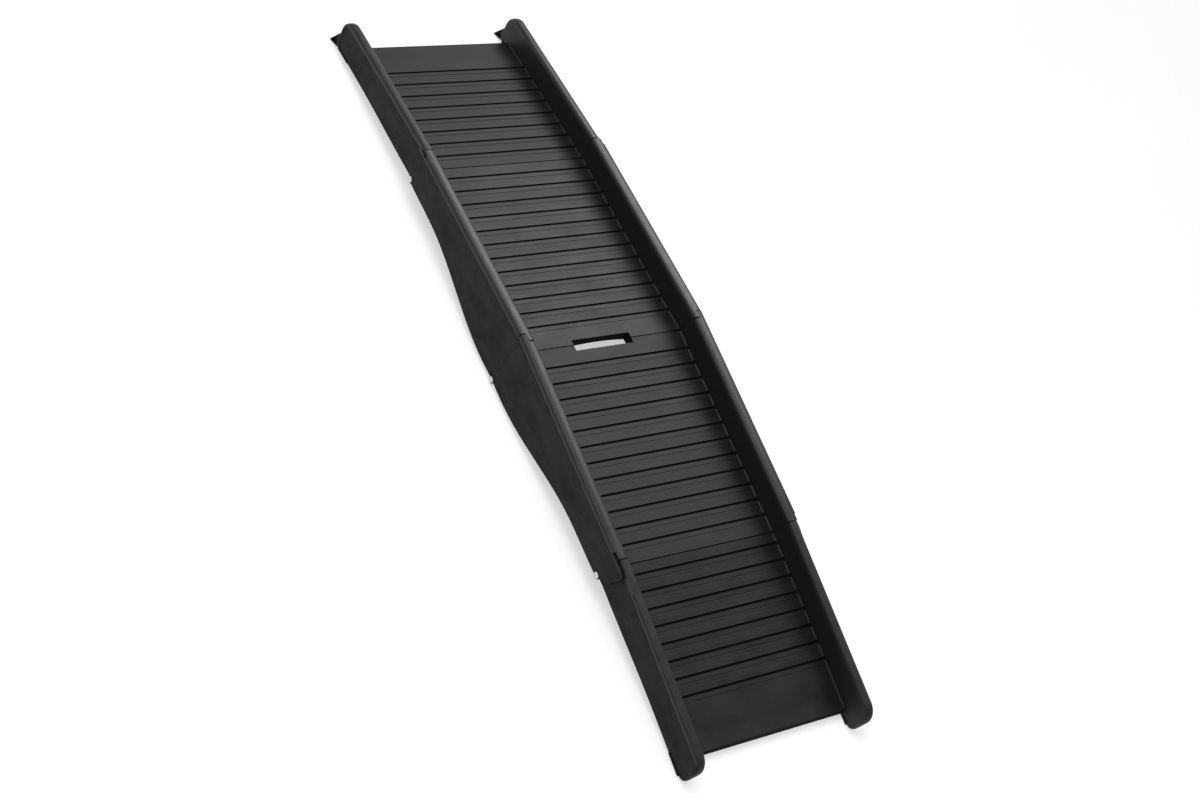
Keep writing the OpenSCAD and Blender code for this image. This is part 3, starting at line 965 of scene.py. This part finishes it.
@dataclass(frozen=True)
class SoftBox:
    """A rectangular studio light."""

    name: str
    toward: Triple
    distance: float
    size: Band
    radiance: float
    spares_floor: bool = False

    def build(self, aim: Vector) -> bpy.types.Object:
        """Hangs the light and turns it to the ramp.

        Args:
            aim: The point it faces.

        Returns:
            The light.
        """
        data = bpy.data.lights.new(self.name, "AREA")
        data.shape = "RECTANGLE"
        data.size, data.size_y = self.size
        data.energy = self.radiance * self.size[0] * self.size[1] * math.pi
        light = bpy.data.objects.new(self.name, data)
        away = Vector(self.toward).normalized()
        light.location = aim + away * self.distance
        light.rotation_euler = away.to_track_quat("Z", "Y").to_euler()
        bpy.context.scene.collection.objects.link(light)
        return light


@dataclass(frozen=True)
class FloorLight:
    """The broad light that only the floor gets; its turns are in degrees."""

    strength: float = 2.4
    spread: float = 60.0
    tilt: Band = (-8.0, 6.0)

    def build(self, floor: bpy.types.Object) -> None:
        """Hangs the light.

        Args:
            floor: The floor.
        """
        data = bpy.data.lights.new("floor_light", "SUN")
        data.energy = self.strength
        data.angle = math.radians(self.spread)
        sun = bpy.data.objects.new("floor_light", data)
        sun.rotation_euler = (math.radians(self.tilt[0]), math.radians(self.tilt[1]), 0)
        bpy.context.scene.collection.objects.link(sun)
        only = bpy.data.collections.new("floor_only")
        only.objects.link(floor)
        sun.light_linking.receiver_collection = only
        sun.light_linking.blocker_collection = only


@dataclass(frozen=True)
class PictureCamera:
    """The camera at the viewing angle of the product picture, as fitted to the model."""

    sensor_mm: float = 36.0
    focal_px: float = 2078.8
    picture_px: float = 1200.0
    clip: Band = (0.1, 60.0)
    spot: Triple = (-1.435558, 2.163547, 2.656586)
    right: Triple = (-0.4102490, -0.7981023, 0.4412804)
    down: Triple = (-0.8333571, 0.1315372, -0.5368555)
    ahead: Triple = (0.3704209, -0.5879887, -0.7190672)

    def build(self) -> None:
        """Sets the camera and makes it the scene's own."""
        data = bpy.data.cameras.new("camera")
        data.sensor_fit = "HORIZONTAL"
        data.sensor_width = self.sensor_mm
        data.lens = self.sensor_mm * self.focal_px / self.picture_px
        data.clip_start, data.clip_end = self.clip
        cam = bpy.data.objects.new("camera", data)
        axes = (Vector(self.right), -Vector(self.down), -Vector(self.ahead))
        turn = Matrix(axes).transposed().to_4x4()
        cam.matrix_world = Matrix.Translation(self.spot) @ turn
        bpy.context.scene.collection.objects.link(cam)
        bpy.context.scene.camera = cam


@dataclass
class Studio:
    """The floor, the lights and the camera."""

    boxes: tuple[SoftBox, ...] = (
        SoftBox("key_box", (0.46, -0.57, 0.68), 3.2, (1.9, 1.9), 8.8, spares_floor=True),
        SoftBox("top_box", (0.2, 0.26, 0.94), 3.4, (2.8, 2.4), 2.1),
    )
    aim: Triple = (0.0, 0.0, 0.08)
    sky: float = 0.25
    floor_reach: float = 45.0
    floor: StudioFloor = field(default_factory=StudioFloor)
    floor_light: FloorLight = field(default_factory=FloorLight)
    camera: PictureCamera = field(default_factory=PictureCamera)

    def ground(self) -> bpy.types.Object:
        """Lays the pale floor.

        Returns:
            The floor.
        """
        data = bpy.data.meshes.new("floor")
        r = self.floor_reach
        data.from_pydata([(-r, -r, 0), (r, -r, 0), (r, r, 0), (-r, r, 0)], [], [(0, 1, 2, 3)])
        data.materials.append(self.floor.build("pale_paper"))
        floor = bpy.data.objects.new("floor", data)
        bpy.context.scene.collection.objects.link(floor)
        return floor

    def lights(self, floor: bpy.types.Object) -> None:
        """Hangs the soft boxes, the light that only the floor gets, and the even sky.

        Args:
            floor: The floor.
        """
        spared = bpy.data.collections.new("all_but_the_floor")
        spared.objects.link(floor)
        spared.collection_objects[0].light_linking.link_state = "EXCLUDE"
        for box in self.boxes:
            light = box.build(Vector(self.aim))
            if box.spares_floor:
                light.light_linking.receiver_collection = spared
        self.floor_light.build(floor)
        world = bpy.data.worlds.new("sky")
        world.use_nodes = True
        back = world.node_tree.nodes["Background"]
        back.inputs["Color"].default_value = (1.0, 1.0, 1.0, 1.0)
        back.inputs["Strength"].default_value = self.sky
        bpy.context.scene.world = world

    def build(self) -> None:
        """Sets up the whole studio."""
        self.camera.build()
        self.lights(self.ground())
        bpy.context.scene.view_settings.view_transform = "Standard"
        LOG.info("studio: %d soft boxes", len(self.boxes))


def ramp_sections() -> list[Section]:
    """The four sections, from the top of the ramp down.

    Returns:
        The sections, with their grooves laid out in millimetres from each one's seam.
    """
    upper, lower = Half.UPPER, Half.LOWER
    return [
        Section("top_section", "top", end_place(upper), 30.8, 8, 315.0),
        Section("upper_middle_section", "upper_middle", middle_place(upper), 47.7, 12, 410.0),
        Section("lower_middle_section", "lower_middle", middle_place(lower), 37.0, 12, 410.0),
        Section("bottom_section", "bottom", end_place(lower), 20.2, 8, 328.0),
    ]


def main() -> None:
    """Builds the classes in order."""
    logging.basicConfig(level=logging.INFO, format="%(message)s")
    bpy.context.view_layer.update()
    for section in ramp_sections():
        section.build()
    HingeSet().build()
    FeetSet().build()
    Studio().build()


if __name__ == "__main__":
    main()
